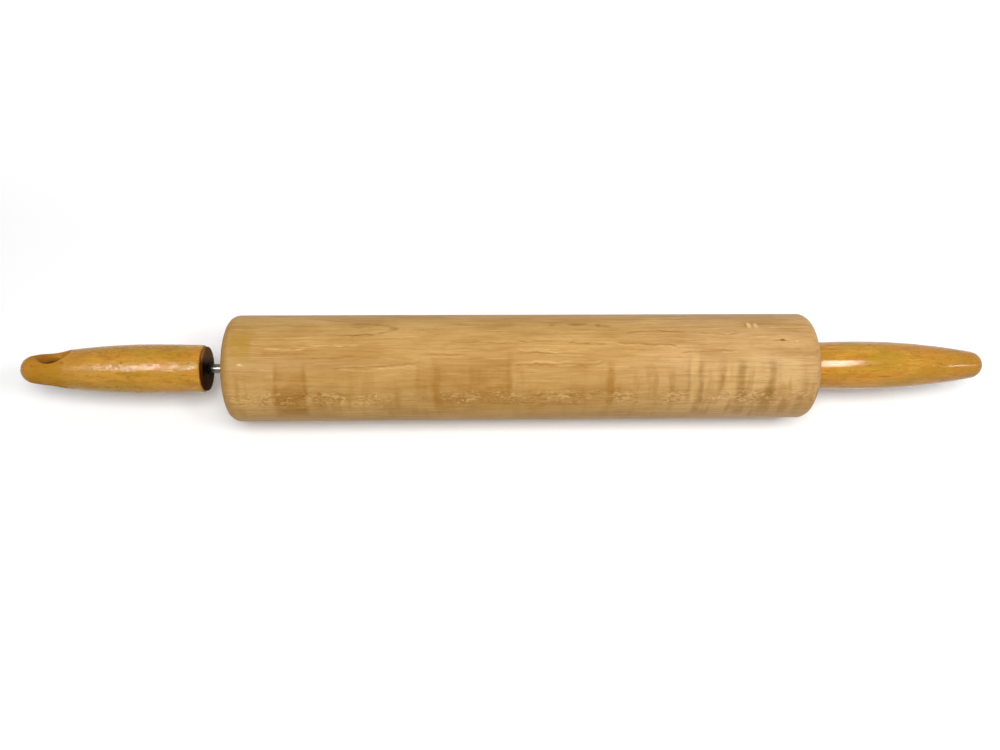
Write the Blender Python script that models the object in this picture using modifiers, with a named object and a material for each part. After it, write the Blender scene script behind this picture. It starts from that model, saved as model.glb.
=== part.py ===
"""A ball-bearing rolling pin with two turned handles, for Blender 4.5.

A maple barrel turns on a ball bearing in each end. A steel axle rod runs through both
bearings and carries a handle at each end; the rod is longer than the barrel needs, so the
handles float along the pin. Metres, +X along the pin and +Z up. The origin is on the
table, midway between the tips of the handles.
"""

from math import acos, atan, cos, degrees, pi, radians, sin, tan

import bmesh
import bpy
from mathutils import Matrix

# The barrel, a 15 inch pin of 2 3/4 inch stock.
BARREL_LENGTH = 0.381
BARREL_RADIUS = 0.034925
RIM_ROUNDING = 0.007
BARREL_BORE_RADIUS = 0.00635

# The axle, a 1/4 inch rod whose grooved ends are glued into the handles.
ROD_RADIUS = 0.003175
ROD_GRIP = 0.066
ROD_CHAMFER = 0.0006
GLUE_GROOVES = 3
GLUE_GROOVE_DEPTH = 0.0004
GLUE_GROOVE_WIDTH = 0.002
GLUE_GROOVE_PITCH = 0.012

# The handles, turned with a round nose and a swell towards the barrel.
HANDLE_LENGTH = 0.1203
HANDLE_RADIUS = 0.0161
HANDLE_END_RADIUS = 0.0154
HANDLE_CREST = 0.085
HANDLE_EDGE_ROUNDING = 0.001
NOSE_RADIUS = 0.0091
LEFT_HANDLE_GAP = 0.0153

# The hang hole across the left handle, countersunk from both sides.
HANG_HOLE_FROM_TIP = 0.0208
HANG_HOLE_RADIUS = 0.0045
HANG_SINK_RADIUS = 0.0113
HANG_SINK_HALF_ANGLE = 50.0
HANG_HOLE_TILT = 37.0
HANG_CUT_MARGIN = 0.003

# The collars between handle and barrel.
COLLAR_RADIUS = 0.0145
COLLAR_THICKNESS = 0.0016
COLLAR_EDGE_ROUNDING = 0.0005
COLLAR_SHANK_RADIUS = 0.006
COLLAR_SHANK_LENGTH = 0.014

# The bearings, with 3/16 inch balls.
BALL_COUNT = 8
BALL_RADIUS = 0.00238
BALL_PITCH_RADIUS = 0.0095
RACE_SHOULDER = 0.0014
CUP_RADIUS = 0.014
CUP_LENGTH = 0.009
CUP_LIP_RADIUS = 0.0089
CUP_LIP_THICKNESS = 0.0008
CAGE_THICKNESS = 0.0018
CAGE_WIDTH = 0.0062
SHIELD_THICKNESS = 0.0007
SHIELD_SEAT_WIDTH = 0.0017
CONE_PROUD = 0.0005
CONE_INSET = 0.0009

# Clearances.
SEAT_GAP = 0.0003
ROD_RUNNING_GAP = 0.0001
RACE_GAP = 0.0002
POCKET_GAP = 0.00015
SHIELD_RUNNING_GAP = 0.0006

# Facets of the round shapes.
TURN_STEPS = 32
HOLE_STEPS = 24
BALL_SEGMENTS = 12
BALL_RINGS = 8
POCKET_SEGMENTS = 14
RIM_STEPS = 6
EDGE_STEPS = 2
NOSE_STEPS = 6
SWELL_STEPS = 9
END_STEPS = 3
GROOVE_STEPS = 6
SHARP_ANGLE = 40.0

# Places that follow from the sizes above.
RIGHT_HANDLE_GAP = CONE_PROUD + SEAT_GAP
BARREL_X = (LEFT_HANDLE_GAP - RIGHT_HANDLE_GAP) / 2
AXIS_Z = BARREL_RADIUS * cos(pi / TURN_STEPS)
BEARING_X = BARREL_LENGTH / 2 - SEAT_GAP - CUP_LENGTH / 2
LEFT_COLLAR_X = -(BARREL_LENGTH / 2 + LEFT_HANDLE_GAP)
RIGHT_COLLAR_X = BARREL_LENGTH / 2 + RIGHT_HANDLE_GAP
HANDLE_FACE = COLLAR_THICKNESS + SEAT_GAP
ROD_GRIP_END = HANDLE_FACE + ROD_GRIP
SHOULDER_OUT = BALL_PITCH_RADIUS + RACE_SHOULDER
SHOULDER_IN = BALL_PITCH_RADIUS - RACE_SHOULDER
SIDES = (("left", -1), ("right", 1))

MAPLE = ("maple", (0.52, 0.31, 0.11), 0.45, 0.0)
AMBER_MAPLE = ("amber_varnished_maple", (0.57, 0.31, 0.06), 0.22, 0.0)
DARK_COLLAR = ("dark_brown_phenolic", (0.035, 0.015, 0.008), 0.3, 0.0)
AXLE_STEEL = ("axle_steel", (0.55, 0.54, 0.5), 0.25, 1.0)
BEARING_STEEL = ("bearing_steel", (0.62, 0.62, 0.63), 0.18, 1.0)
PRESSED_STEEL = ("pressed_steel", (0.45, 0.45, 0.46), 0.35, 1.0)


def clear_scene():
    for obj in list(bpy.data.objects):
        bpy.data.objects.remove(obj)


def new_collection(name):
    collection = bpy.data.collections.new(name)
    bpy.context.scene.collection.children.link(collection)
    return collection


def finish_material(look):
    """The Principled material of a (name, colour, roughness, metallic) look, made once."""
    name, colour, roughness, metallic = look
    material = bpy.data.materials.get(name)
    if material is None:
        material = bpy.data.materials.new(name)
        material.use_nodes = True
        shader = material.node_tree.nodes["Principled BSDF"]
        shader.inputs["Base Color"].default_value = (*colour, 1.0)
        shader.inputs["Roughness"].default_value = roughness
        shader.inputs["Metallic"].default_value = metallic
        material.diffuse_color = (*colour, 1.0)
    return material


def axis_frame(name, x, side, collection):
    """An empty on the pin's axis whose own Z points along +X, or along -X on the left side."""
    frame = bpy.data.objects.new(name, None)
    frame.location = (x, 0.0, AXIS_Z)
    frame.rotation_euler = (0.0, side * pi / 2, 0.0)
    frame.empty_display_size = BARREL_RADIUS
    collection.objects.link(frame)
    return frame


def arc(z, radius, bend, start, end, steps):
    """Profile points (z, radius) round a centre; 0 degrees points away from the axis, 90 up."""
    angles = [radians(start + (end - start) * i / steps) for i in range(steps + 1)]
    return [(z + bend * sin(a), radius + bend * cos(a)) for a in angles]


def profile_mesh(name, profile, closed, steps):
    """The edges of a profile, half a facet round from X so that facets face up and down."""
    turn = pi / steps
    points = [(r * cos(turn), r * sin(turn), z) for z, r in profile]
    edges = [(i, i + 1) for i in range(len(points) - 1)]
    if closed:
        edges.append((len(points) - 1, 0))
    mesh = bpy.data.meshes.new(name)
    mesh.from_pydata(points, edges, [])
    return mesh


def turned(name, profile, look, frame, collection, closed=True, steps=TURN_STEPS):
    """A turned piece: its profile (z, radius) runs down the outside and back up the bore."""
    obj = bpy.data.objects.new(name, profile_mesh(name, profile, closed, steps))
    obj.data.materials.append(finish_material(look))
    obj.parent = frame
    collection.objects.link(obj)
    screw = obj.modifiers.new("turn", "SCREW")
    screw.steps = steps
    screw.render_steps = steps
    screw.use_merge_vertices = not closed
    screw.merge_threshold = 0.000001
    return obj


def as_cutter(obj, cutters):
    for collection in list(obj.users_collection):
        collection.objects.unlink(obj)
    cutters.objects.link(obj)
    obj.hide_render = True
    obj.display_type = "WIRE"


def cut(obj, cutter):
    boolean = obj.modifiers.new("cut " + cutter.name, "BOOLEAN")
    boolean.operation = "DIFFERENCE"
    boolean.solver = "EXACT"
    boolean.object = cutter


def mesh_object(name, build, look, frame, collection):
    """An object whose mesh the build function fills with bmesh primitives."""
    shape = bmesh.new()
    build(shape)
    mesh = bpy.data.meshes.new(name)
    shape.to_mesh(mesh)
    shape.free()
    obj = bpy.data.objects.new(name, mesh)
    obj.data.materials.append(finish_material(look))
    obj.parent = frame
    collection.objects.link(obj)
    return obj


def smooth_round_pieces(collection):
    """Turns each piece's modifiers into its mesh and shades it smooth between sharp edges."""
    graph = bpy.context.evaluated_depsgraph_get()
    for obj in collection.objects:
        if obj.type != "MESH":
            continue
        if obj.modifiers:
            rough = obj.data
            obj.data = bpy.data.meshes.new_from_object(obj.evaluated_get(graph))
            obj.data.name = obj.name
            obj.modifiers.clear()
            bpy.data.meshes.remove(rough)
            obj.data.shade_smooth()
            obj.data.set_sharp_from_angle(angle=radians(SHARP_ANGLE))
        else:
            obj.data.shade_smooth()


def add_barrel(pin):
    frame = axis_frame("barrel_axis", BARREL_X, 1, pin)
    end = BARREL_LENGTH / 2
    rim = end - RIM_ROUNDING
    seat = end - SEAT_GAP - CUP_LENGTH - SEAT_GAP
    seat_radius = CUP_RADIUS + SEAT_GAP
    belly = BARREL_RADIUS - RIM_ROUNDING
    profile = arc(rim, belly, RIM_ROUNDING, 90, 0, RIM_STEPS)
    profile += arc(-rim, belly, RIM_ROUNDING, 0, -90, RIM_STEPS)
    profile += [(-end, seat_radius), (-seat, seat_radius), (-seat, BARREL_BORE_RADIUS)]
    profile += [(seat, BARREL_BORE_RADIUS), (seat, seat_radius), (end, seat_radius)]
    turned("barrel", profile, MAPLE, frame, pin)


def groove(start, end):
    """The race groove round the ball pitch circle, between two angles of its section."""
    return arc(0.0, BALL_PITCH_RADIUS, BALL_RADIUS + RACE_GAP, start, end, GROOVE_STEPS)


def groove_angle():
    """The angle from the groove's bottom at which it meets the race's shoulder."""
    return degrees(acos(RACE_SHOULDER / (BALL_RADIUS + RACE_GAP)))


def add_cup(name, frame, pin):
    half = CUP_LENGTH / 2
    lip = CUP_LIP_THICKNESS - half
    step = half - SHIELD_SEAT_WIDTH + SEAT_GAP
    step_radius = (CUP_RADIUS + SHOULDER_OUT) / 2
    profile = [(half, CUP_RADIUS), (-half, CUP_RADIUS), (-half, CUP_LIP_RADIUS)]
    profile += [(lip, CUP_LIP_RADIUS), (lip, SHOULDER_OUT)]
    profile += groove(-groove_angle(), groove_angle())
    profile += [(step, SHOULDER_OUT), (step, step_radius), (half, step_radius)]
    turned(name, profile, BEARING_STEEL, frame, pin)


def add_shield(name, frame, pin):
    """A washer in the cup's mouth that keeps flour out of the balls."""
    inner_face = CUP_LENGTH / 2 - SHIELD_SEAT_WIDTH + SEAT_GAP + SEAT_GAP
    outer_face = inner_face + SHIELD_THICKNESS
    radius = (CUP_RADIUS + SHOULDER_OUT) / 2 - SEAT_GAP
    bore = SHOULDER_IN + SHIELD_RUNNING_GAP
    profile = [(outer_face, radius), (inner_face, radius)]
    profile += [(inner_face, bore), (outer_face, bore)]
    turned(name, profile, PRESSED_STEEL, frame, pin)


def add_cone(name, frame, pin):
    nose = CUP_LENGTH / 2 + SEAT_GAP + CONE_PROUD
    heel = -(CUP_LENGTH / 2 - CONE_INSET)
    bore = ROD_RADIUS + ROD_RUNNING_GAP
    profile = [(nose, SHOULDER_IN)] + groove(180 - groove_angle(), 180 + groove_angle())
    profile += [(heel, SHOULDER_IN), (heel, bore), (nose, bore)]
    turned(name, profile, BEARING_STEEL, frame, pin)


def ball_angles():
    return [2 * pi * i / BALL_COUNT for i in range(BALL_COUNT)]


def pocket_drills(shape):
    depth = 2 * CAGE_THICKNESS
    for angle in ball_angles():
        place = Matrix.Rotation(angle, 4, "Z")
        place @= Matrix.Translation((BALL_PITCH_RADIUS, 0.0, 0.0))
        place @= Matrix.Rotation(pi / 2, 4, "Y")
        bmesh.ops.create_cone(
            shape, cap_ends=True, segments=POCKET_SEGMENTS, radius1=BALL_RADIUS + POCKET_GAP,
            radius2=BALL_RADIUS + POCKET_GAP, depth=depth, matrix=place)


def add_cage(name, frame, pin, cutters):
    """The ring that keeps the balls apart, with a round pocket for each."""
    half = CAGE_WIDTH / 2
    inner = BALL_PITCH_RADIUS - CAGE_THICKNESS / 2
    outer = BALL_PITCH_RADIUS + CAGE_THICKNESS / 2
    profile = [(half, outer), (-half, outer), (-half, inner), (half, inner)]
    cage = turned(name, profile, PRESSED_STEEL, frame, pin)
    drills = mesh_object(name + "_pockets", pocket_drills, PRESSED_STEEL, frame, pin)
    as_cutter(drills, cutters)
    cut(cage, drills)


def add_balls(side, frame, pin):
    def ball_shape(shape):
        bmesh.ops.create_uvsphere(
            shape, u_segments=BALL_SEGMENTS, v_segments=BALL_RINGS, radius=BALL_RADIUS)

    for number, angle in enumerate(ball_angles(), 1):
        ball = mesh_object(f"{side}_ball_{number}", ball_shape, BEARING_STEEL, frame, pin)
        ball.location = (BALL_PITCH_RADIUS * cos(angle), BALL_PITCH_RADIUS * sin(angle), 0.0)
        ball.rotation_euler = (0.0, 0.0, angle)


def add_bearing(side, sign, pin, cutters):
    x = BARREL_X + sign * BEARING_X
    cup_frame = axis_frame(side + "_bearing_seat", x, sign, pin)
    cone_frame = axis_frame(side + "_cone_axis", x, sign, pin)
    ball_frame = axis_frame(side + "_ball_axis", x, sign, pin)
    add_cup(side + "_bearing_cup", cup_frame, pin)
    add_shield(side + "_bearing_shield", cup_frame, pin)
    add_cone(side + "_bearing_cone", cone_frame, pin)
    add_cage(side + "_ball_cage", ball_frame, pin, cutters)
    add_balls(side, ball_frame, pin)


def glue_grooves(end, direction):
    """The ring grooves near a rod end, from the outermost in or from the innermost out."""
    half = GLUE_GROOVE_WIDTH / 2
    root = ROD_RADIUS - GLUE_GROOVE_DEPTH
    numbers = range(1, GLUE_GROOVES + 1) if direction > 0 else range(GLUE_GROOVES, 0, -1)
    points = []
    for number in numbers:
        middle = end - direction * number * GLUE_GROOVE_PITCH
        points += [(middle + half, ROD_RADIUS), (middle + half / 2, root)]
        points += [(middle - half / 2, root), (middle - half, ROD_RADIUS)]
    return points


def add_rod(frame, pin):
    top = RIGHT_COLLAR_X + ROD_GRIP_END
    bottom = LEFT_COLLAR_X - ROD_GRIP_END
    nose = ROD_RADIUS - ROD_CHAMFER
    profile = [(top, 0.0), (top, nose), (top - ROD_CHAMFER, ROD_RADIUS)]
    profile += glue_grooves(top, 1) + glue_grooves(bottom, -1)
    profile += [(bottom + ROD_CHAMFER, ROD_RADIUS), (bottom, nose), (bottom, 0.0)]
    turned("axle_rod", profile, AXLE_STEEL, frame, pin, closed=False)


def nose_angle():
    """The angle, in radians, at which the round nose runs into the swell with no corner."""
    angle = 0.0
    for _ in range(30):
        rise = HANDLE_RADIUS - NOSE_RADIUS * cos(angle)
        run = HANDLE_CREST - NOSE_RADIUS * (1 - sin(angle))
        angle = atan(2 * rise / run)
    return angle


def swell_radius(from_tip):
    """The handle's radius past its nose: one parabola up to the crest and one down to the end."""
    if from_tip < HANDLE_CREST:
        start = NOSE_RADIUS * (1 - sin(nose_angle()))
        fall = HANDLE_RADIUS - NOSE_RADIUS * cos(nose_angle())
        return HANDLE_RADIUS - fall * ((HANDLE_CREST - from_tip) / (HANDLE_CREST - start)) ** 2
    share = (from_tip - HANDLE_CREST) / (HANDLE_LENGTH - HANDLE_FACE - HANDLE_CREST)
    return HANDLE_RADIUS - (HANDLE_RADIUS - HANDLE_END_RADIUS) * share**2


def handle_outline():
    """The outside from the tip to the inner face; z is measured from the collar's face."""
    tip = HANDLE_LENGTH
    tangent = degrees(nose_angle())
    nose_end = NOSE_RADIUS * (1 - sin(nose_angle()))
    edge = tip - HANDLE_FACE - HANDLE_EDGE_ROUNDING
    outline = arc(tip - NOSE_RADIUS, 0.0, NOSE_RADIUS, 90, tangent, NOSE_STEPS)
    outline[0] = (tip, 0.0)
    for i in range(1, SWELL_STEPS + 1):
        along = nose_end + (HANDLE_CREST - nose_end) * i / SWELL_STEPS
        outline.append((tip - along, swell_radius(along)))
    for i in range(1, END_STEPS):
        along = HANDLE_CREST + (edge - HANDLE_CREST) * i / END_STEPS
        outline.append((tip - along, swell_radius(along)))
    belly = swell_radius(edge) - HANDLE_EDGE_ROUNDING
    outline += arc(tip - edge, belly, HANDLE_EDGE_ROUNDING, 0, -90, EDGE_STEPS)
    return outline


def add_handle(side, frame, place, pin):
    """The handle and its blind bore, stepped for the collar's shank and then for the rod."""
    shank_hole = COLLAR_SHANK_RADIUS + SEAT_GAP
    shank_end = HANDLE_FACE + COLLAR_SHANK_LENGTH
    rod_hole = ROD_RADIUS + SEAT_GAP
    rod_end = ROD_GRIP_END + SEAT_GAP
    profile = handle_outline()
    profile += [(HANDLE_FACE, shank_hole), (shank_end, shank_hole), (shank_end, rod_hole)]
    profile += [(rod_end, rod_hole), (rod_end, 0.0)]
    handle = turned(side + "_handle", profile, AMBER_MAPLE, frame, pin, closed=False)
    handle.location, handle.rotation_euler = place
    return handle


def add_collar(side, frame, place, pin):
    """A flange against the handle's face, with a shank in its bore round the rod."""
    bore = ROD_RADIUS + SEAT_GAP
    shank_end = COLLAR_THICKNESS + COLLAR_SHANK_LENGTH
    belly = COLLAR_RADIUS - COLLAR_EDGE_ROUNDING
    profile = [(shank_end, COLLAR_SHANK_RADIUS), (COLLAR_THICKNESS, COLLAR_SHANK_RADIUS)]
    profile += [(COLLAR_THICKNESS, COLLAR_RADIUS)]
    profile += arc(COLLAR_EDGE_ROUNDING, belly, COLLAR_EDGE_ROUNDING, 0, -90, EDGE_STEPS)
    profile += [(0.0, bore), (shank_end, bore)]
    collar = turned(side + "_handle_collar", profile, DARK_COLLAR, frame, pin)
    collar.location, collar.rotation_euler = place


def cut_hang_hole(handle, pin, cutters):
    """A drilled hole across the handle that opens to a cone at each end."""
    reach = swell_radius(HANG_HOLE_FROM_TIP)
    flare = tan(radians(HANG_SINK_HALF_ANGLE))
    neck = reach - (HANG_SINK_RADIUS - HANG_HOLE_RADIUS) / flare
    mouth = reach + HANG_CUT_MARGIN
    mouth_radius = HANG_HOLE_RADIUS + (mouth - neck) * flare
    profile = [(mouth, 0.0), (mouth, mouth_radius), (neck, HANG_HOLE_RADIUS)]
    profile += [(-neck, HANG_HOLE_RADIUS), (-mouth, mouth_radius), (-mouth, 0.0)]
    drill = turned(
        "hang_hole_drill", profile, AMBER_MAPLE, handle, pin, closed=False, steps=HOLE_STEPS)
    drill.location = (0.0, 0.0, HANDLE_LENGTH - HANG_HOLE_FROM_TIP)
    drill.rotation_euler = (0.0, pi / 2, radians(HANG_HOLE_TILT))
    as_cutter(drill, cutters)
    cut(handle, drill)


def add_axle(pin, cutters):
    frame = axis_frame("axle_axis", BARREL_X, 1, pin)
    add_rod(frame, pin)
    places = {
        "left": ((0.0, 0.0, LEFT_COLLAR_X), (0.0, pi, 0.0)),
        "right": ((0.0, 0.0, RIGHT_COLLAR_X), (0.0, 0.0, 0.0)),
    }
    for side, _ in SIDES:
        handle = add_handle(side, frame, places[side], pin)
        add_collar(side, frame, places[side], pin)
        if side == "left":
            cut_hang_hole(handle, pin, cutters)


def main():
    clear_scene()
    pin = new_collection("rolling_pin")
    cutters = new_collection("cutters")
    cutters.hide_render = True
    add_barrel(pin)
    for side, sign in SIDES:
        add_bearing(side, sign, pin, cutters)
    add_axle(pin, cutters)
    smooth_round_pieces(pin)


main()
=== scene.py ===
# Rolling pin with handles: the finish of each piece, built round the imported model.
# Metres, +X along the pin and +Z up. The camera stands above the pin, on its -Y side.

import math

import bmesh
import bpy
import numpy as np
from mathutils import Matrix, Vector


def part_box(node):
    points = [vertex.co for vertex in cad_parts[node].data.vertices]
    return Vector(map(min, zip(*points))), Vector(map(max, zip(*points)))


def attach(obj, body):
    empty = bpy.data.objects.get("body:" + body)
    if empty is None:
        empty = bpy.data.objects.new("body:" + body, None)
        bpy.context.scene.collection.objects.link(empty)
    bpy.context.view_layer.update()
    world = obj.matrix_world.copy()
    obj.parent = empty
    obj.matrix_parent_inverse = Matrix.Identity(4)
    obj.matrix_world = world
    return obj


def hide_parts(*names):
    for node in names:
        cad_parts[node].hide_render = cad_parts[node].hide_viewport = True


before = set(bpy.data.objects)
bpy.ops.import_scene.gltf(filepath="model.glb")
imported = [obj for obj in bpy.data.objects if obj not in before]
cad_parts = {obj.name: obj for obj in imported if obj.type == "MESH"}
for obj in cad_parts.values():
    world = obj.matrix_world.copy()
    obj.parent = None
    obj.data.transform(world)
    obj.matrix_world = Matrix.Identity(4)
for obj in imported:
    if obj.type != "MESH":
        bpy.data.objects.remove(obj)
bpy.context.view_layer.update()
barrelLow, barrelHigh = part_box("barrel")
axisZ = (barrelLow.z + barrelHigh.z) / 2
barrelX = (barrelLow.x + barrelHigh.x) / 2
barrelRadius = (barrelHigh.z - barrelLow.z) / 2
barrelHalf = (barrelHigh.x - barrelLow.x) / 2
sides = (("left", -1), ("right", 1))
print("frame loaded, barrel radius", round(barrelRadius, 5))


# Node trees, shared by materials and geometry.

def plug(tree, target, value):
    if isinstance(value, bpy.types.NodeSocket):
        tree.links.new(value, target)
    else:
        target.default_value = value


def addNode(tree, kind, inputs=None, **settings):
    made = tree.nodes.new(kind)
    for name, value in settings.items():
        setattr(made, name, value)
    for name, value in (inputs or {}).items():
        plug(tree, made.inputs[name], value)
    return made


def maths(tree, operation, first, second=0.0, third=0.0):
    made = addNode(tree, "ShaderNodeMath", {0: first, 1: second, 2: third}, operation=operation)
    return made.outputs[0]


def times(tree, first, second):
    return maths(tree, "MULTIPLY", first, second)


def vectorMaths(tree, operation, first, second=(0.0, 0.0, 0.0)):
    made = addNode(tree, "ShaderNodeVectorMath", {0: first, 1: second}, operation=operation)
    return made.outputs["Value" if operation in ("LENGTH", "DOT_PRODUCT") else "Vector"]


def mapped(tree, vector, scale=(1.0, 1.0, 1.0), turn=(0.0, 0.0, 0.0), move=(0.0, 0.0, 0.0)):
    made = addNode(tree, "ShaderNodeMapping",
                   {"Vector": vector, "Scale": scale, "Rotation": turn, "Location": move})
    return made.outputs[0]


def noise(tree, vector, scale, detail=2.0, roughness=0.5, distortion=0.0, move=(0.0, 0.0, 0.0)):
    made = addNode(tree, "ShaderNodeTexNoise",
                   {"Vector": mapped(tree, vector, scale, move=move), "Scale": 1.0, "Detail": detail,
                    "Roughness": roughness, "Distortion": distortion})
    return made.outputs[0]


def ramp(tree, value, low, high, start=0.0, end=1.0):
    made = addNode(tree, "ShaderNodeMapRange",
                   {"Value": value, "From Min": low, "From Max": high, "To Min": start, "To Max": end},
                   interpolation_type="SMOOTHSTEP")
    return made.outputs[0]


def blendColour(tree, factor, first, second):
    made = addNode(tree, "ShaderNodeMix", data_type="RGBA")
    plug(tree, made.inputs[0], factor)
    plug(tree, made.inputs[6], first)
    plug(tree, made.inputs[7], second)
    return made.outputs[2]


def tinted(tree, colour, mask, strength, shade):
    return blendColour(tree, times(tree, mask, strength), colour, shade)


def washed(tree, colour, value, wash, shade):
    # A wash says where the value starts to tint, where it tints in full, and how strongly then.
    start, full, strength = wash
    return blendColour(tree, ramp(tree, value, start, full, 0.0, strength), colour, shade)


def blendValue(tree, factor, first, second):
    made = addNode(tree, "ShaderNodeMix", data_type="FLOAT")
    plug(tree, made.inputs[0], factor)
    plug(tree, made.inputs[2], first)
    plug(tree, made.inputs[3], second)
    return made.outputs[0]


def newGroup(name, inputs, outputs, kind="ShaderNodeTree"):
    # The sockets are given as lists of labels, one list for each type of socket.
    tree = bpy.data.node_groups.new(name, kind)
    for direction, sockets in (("INPUT", inputs), ("OUTPUT", outputs)):
        for socket, labels in sockets.items():
            for label in labels:
                tree.interface.new_socket(label, in_out=direction, socket_type="NodeSocket" + socket)
    return tree, tree.nodes.new("NodeGroupInput").outputs, tree.nodes.new("NodeGroupOutput").inputs


def endGroup(tree, result, **made):
    for label, value in made.items():
        tree.links.new(value, result[label])
    return tree


def useGroup(tree, group, **inputs):
    return addNode(tree, "ShaderNodeGroup", inputs, node_tree=group).outputs


def splitVector(tree, vector):
    return addNode(tree, "ShaderNodeSeparateXYZ", {0: vector}).outputs


def fromAxis(tree, vector, kept=(0.0, 1.0, 1.0)):
    # How far a point is from an axis: X, or the one that the kept part leaves out.
    return vectorMaths(tree, "LENGTH", vectorMaths(tree, "MULTIPLY", vector, kept))


def thinLine(tree, off, width):
    return ramp(tree, off, times(tree, width, 0.3), width, 1.0, 0.0)


# Effects that several finishes share.

def makeSpotGroup():
    # A round or drawn-out spot: 1 at its centre, fading out from the edge share to its reach.
    tree, given, result = newGroup(
        "softSpot", {"Vector": ["Vector", "Centre", "Reach"], "Float": ["Edge"]}, {"Float": ["Mask"]})
    apart = vectorMaths(tree, "SUBTRACT", given["Vector"], given["Centre"])
    share = vectorMaths(tree, "LENGTH", vectorMaths(tree, "DIVIDE", apart, given["Reach"]))
    return endGroup(tree, result, Mask=ramp(tree, share, given["Edge"], 1.0, 1.0, 0.0))


def makePatchGroup():
    # A patch with straight ends across the grain, which stands for a stain or a band of figure.
    tree, given, result = newGroup(
        "softPatch", {"Vector": ["Vector", "Centre"], "Float": ["Half Length", "Half Height", "Blur"]},
        {"Float": ["Mask"]})
    apart = vectorMaths(tree, "SUBTRACT", given["Vector"], given["Centre"])
    along = maths(tree, "ABSOLUTE", splitVector(tree, apart)["X"])
    overLength = maths(tree, "SUBTRACT", along, given["Half Length"])
    overHeight = maths(tree, "SUBTRACT", fromAxis(tree, apart), given["Half Height"])
    blur = given["Blur"]
    ends = ramp(tree, overLength, times(tree, blur, -1.0), blur, 1.0, 0.0)
    flanks = ramp(tree, overHeight, times(tree, blur, -4.0), times(tree, blur, 2.0), 1.0, 0.0)
    return endGroup(tree, result, Mask=times(tree, ends, flanks))


def makeRingGroup():
    # Growth rings round a pith line that lies along X, below the piece by the pith depth.
    tree, given, result = newGroup(
        "growthRings", {"Vector": ["Vector"], "Float": ["Pith Depth", "Spacing", "Taper", "Wave"]},
        {"Float": ["Line", "Tone"]})
    split = splitVector(tree, given["Vector"])
    depth = maths(tree, "ADD", split["Z"], given["Pith Depth"])
    squares = maths(tree, "ADD", times(tree, split["Y"], split["Y"]), times(tree, depth, depth))
    reach = maths(tree, "SQRT", squares)
    tapered = maths(tree, "MULTIPLY_ADD", split["X"], given["Taper"], reach)
    slow = noise(tree, given["Vector"], (16.0, 22.0, 22.0))
    fast = noise(tree, given["Vector"], (110.0, 60.0, 60.0), move=(7.0, 0.0, 0.0))
    waves = maths(tree, "MULTIPLY_ADD", fast, 0.14, slow)
    wavy = maths(tree, "MULTIPLY_ADD", waves, given["Wave"], tapered)
    counted = maths(tree, "DIVIDE", wavy, given["Spacing"])
    uneven = noise(tree, addNode(tree, "ShaderNodeCombineXYZ", {0: counted}).outputs[0], (0.7, 0.7, 0.7), 1.0)
    shifted = maths(tree, "MULTIPLY_ADD", uneven, 0.9, counted)
    within = maths(tree, "FRACT", shifted)
    rise = ramp(tree, within, 0.80, 0.95)
    fall = ramp(tree, within, 0.96, 1.0, 1.0, 0.0)
    whole = maths(tree, "FLOOR", shifted)
    tone = addNode(tree, "ShaderNodeTexWhiteNoise", {"W": whole}, noise_dimensions="1D").outputs[0]
    return endGroup(tree, result, Line=times(tree, rise, fall), Tone=tone)


def makeFibreGroup():
    # Streaks, short pores and broad clouding that run along the grain, which is X.
    tree, given, result = newGroup(
        "woodFibres", {"Vector": ["Vector"], "Float": ["Fineness"]},
        {"Float": ["Streak", "Pore", "Pale", "Cloud"]})
    fine = vectorMaths(tree, "MULTIPLY", given["Vector"], given["Fineness"])
    streak = noise(tree, fine, (28.0, 520.0, 520.0), 4.0, 0.62)
    pore = noise(tree, fine, (170.0, 1500.0, 1500.0), 1.0)
    pale = noise(tree, fine, (34.0, 780.0, 780.0), move=(9.0, 4.0, 2.0))
    cloud = noise(tree, fine, (9.0, 36.0, 36.0), 3.0, move=(3.0, 1.0, 5.0))
    return endGroup(tree, result, Streak=streak, Pore=ramp(tree, pore, 0.60, 0.74),
                    Pale=ramp(tree, pale, 0.56, 0.70), Cloud=cloud)


def makeScuffGroup():
    # Fine turning marks round a piece, and grime in soft clouds.
    tree, given, result = newGroup(
        "fineScuffs", {"Vector": ["Vector"], "Float": ["Density"]}, {"Float": ["Scuff", "Grime"]})
    lines = noise(tree, given["Vector"], (2600.0, 90.0, 90.0))
    grime = noise(tree, given["Vector"], (140.0, 140.0, 140.0), 3.0, 0.6)
    scuffs = times(tree, ramp(tree, lines, 0.5, 0.75), given["Density"])
    return endGroup(tree, result, Scuff=scuffs, Grime=ramp(tree, grime, 0.4, 0.75))


def makeGrainLineGroup():
    # One growth line between two places: how far along, and how far round in metres of arc.
    tree, given, result = newGroup(
        "grainLine",
        {"Float": ["Along", "Around", "From", "To", "Start Round", "End Round", "Width", "Fade"]},
        {"Float": ["Mask"]})
    middle = addNode(tree, "ShaderNodeMapRange",
                     {"Value": given["Along"], "From Min": given["From"], "From Max": given["To"],
                      "To Min": given["Start Round"], "To Max": given["End Round"]}).outputs[0]
    off = maths(tree, "ABSOLUTE", maths(tree, "SUBTRACT", given["Around"], middle))
    line = thinLine(tree, off, given["Width"])
    fromStart = ramp(tree, maths(tree, "SUBTRACT", given["Along"], given["From"]), 0.0, given["Fade"])
    fromEnd = ramp(tree, maths(tree, "SUBTRACT", given["To"], given["Along"]), 0.0, given["Fade"])
    return endGroup(tree, result, Mask=times(tree, line, times(tree, fromStart, fromEnd)))


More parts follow.
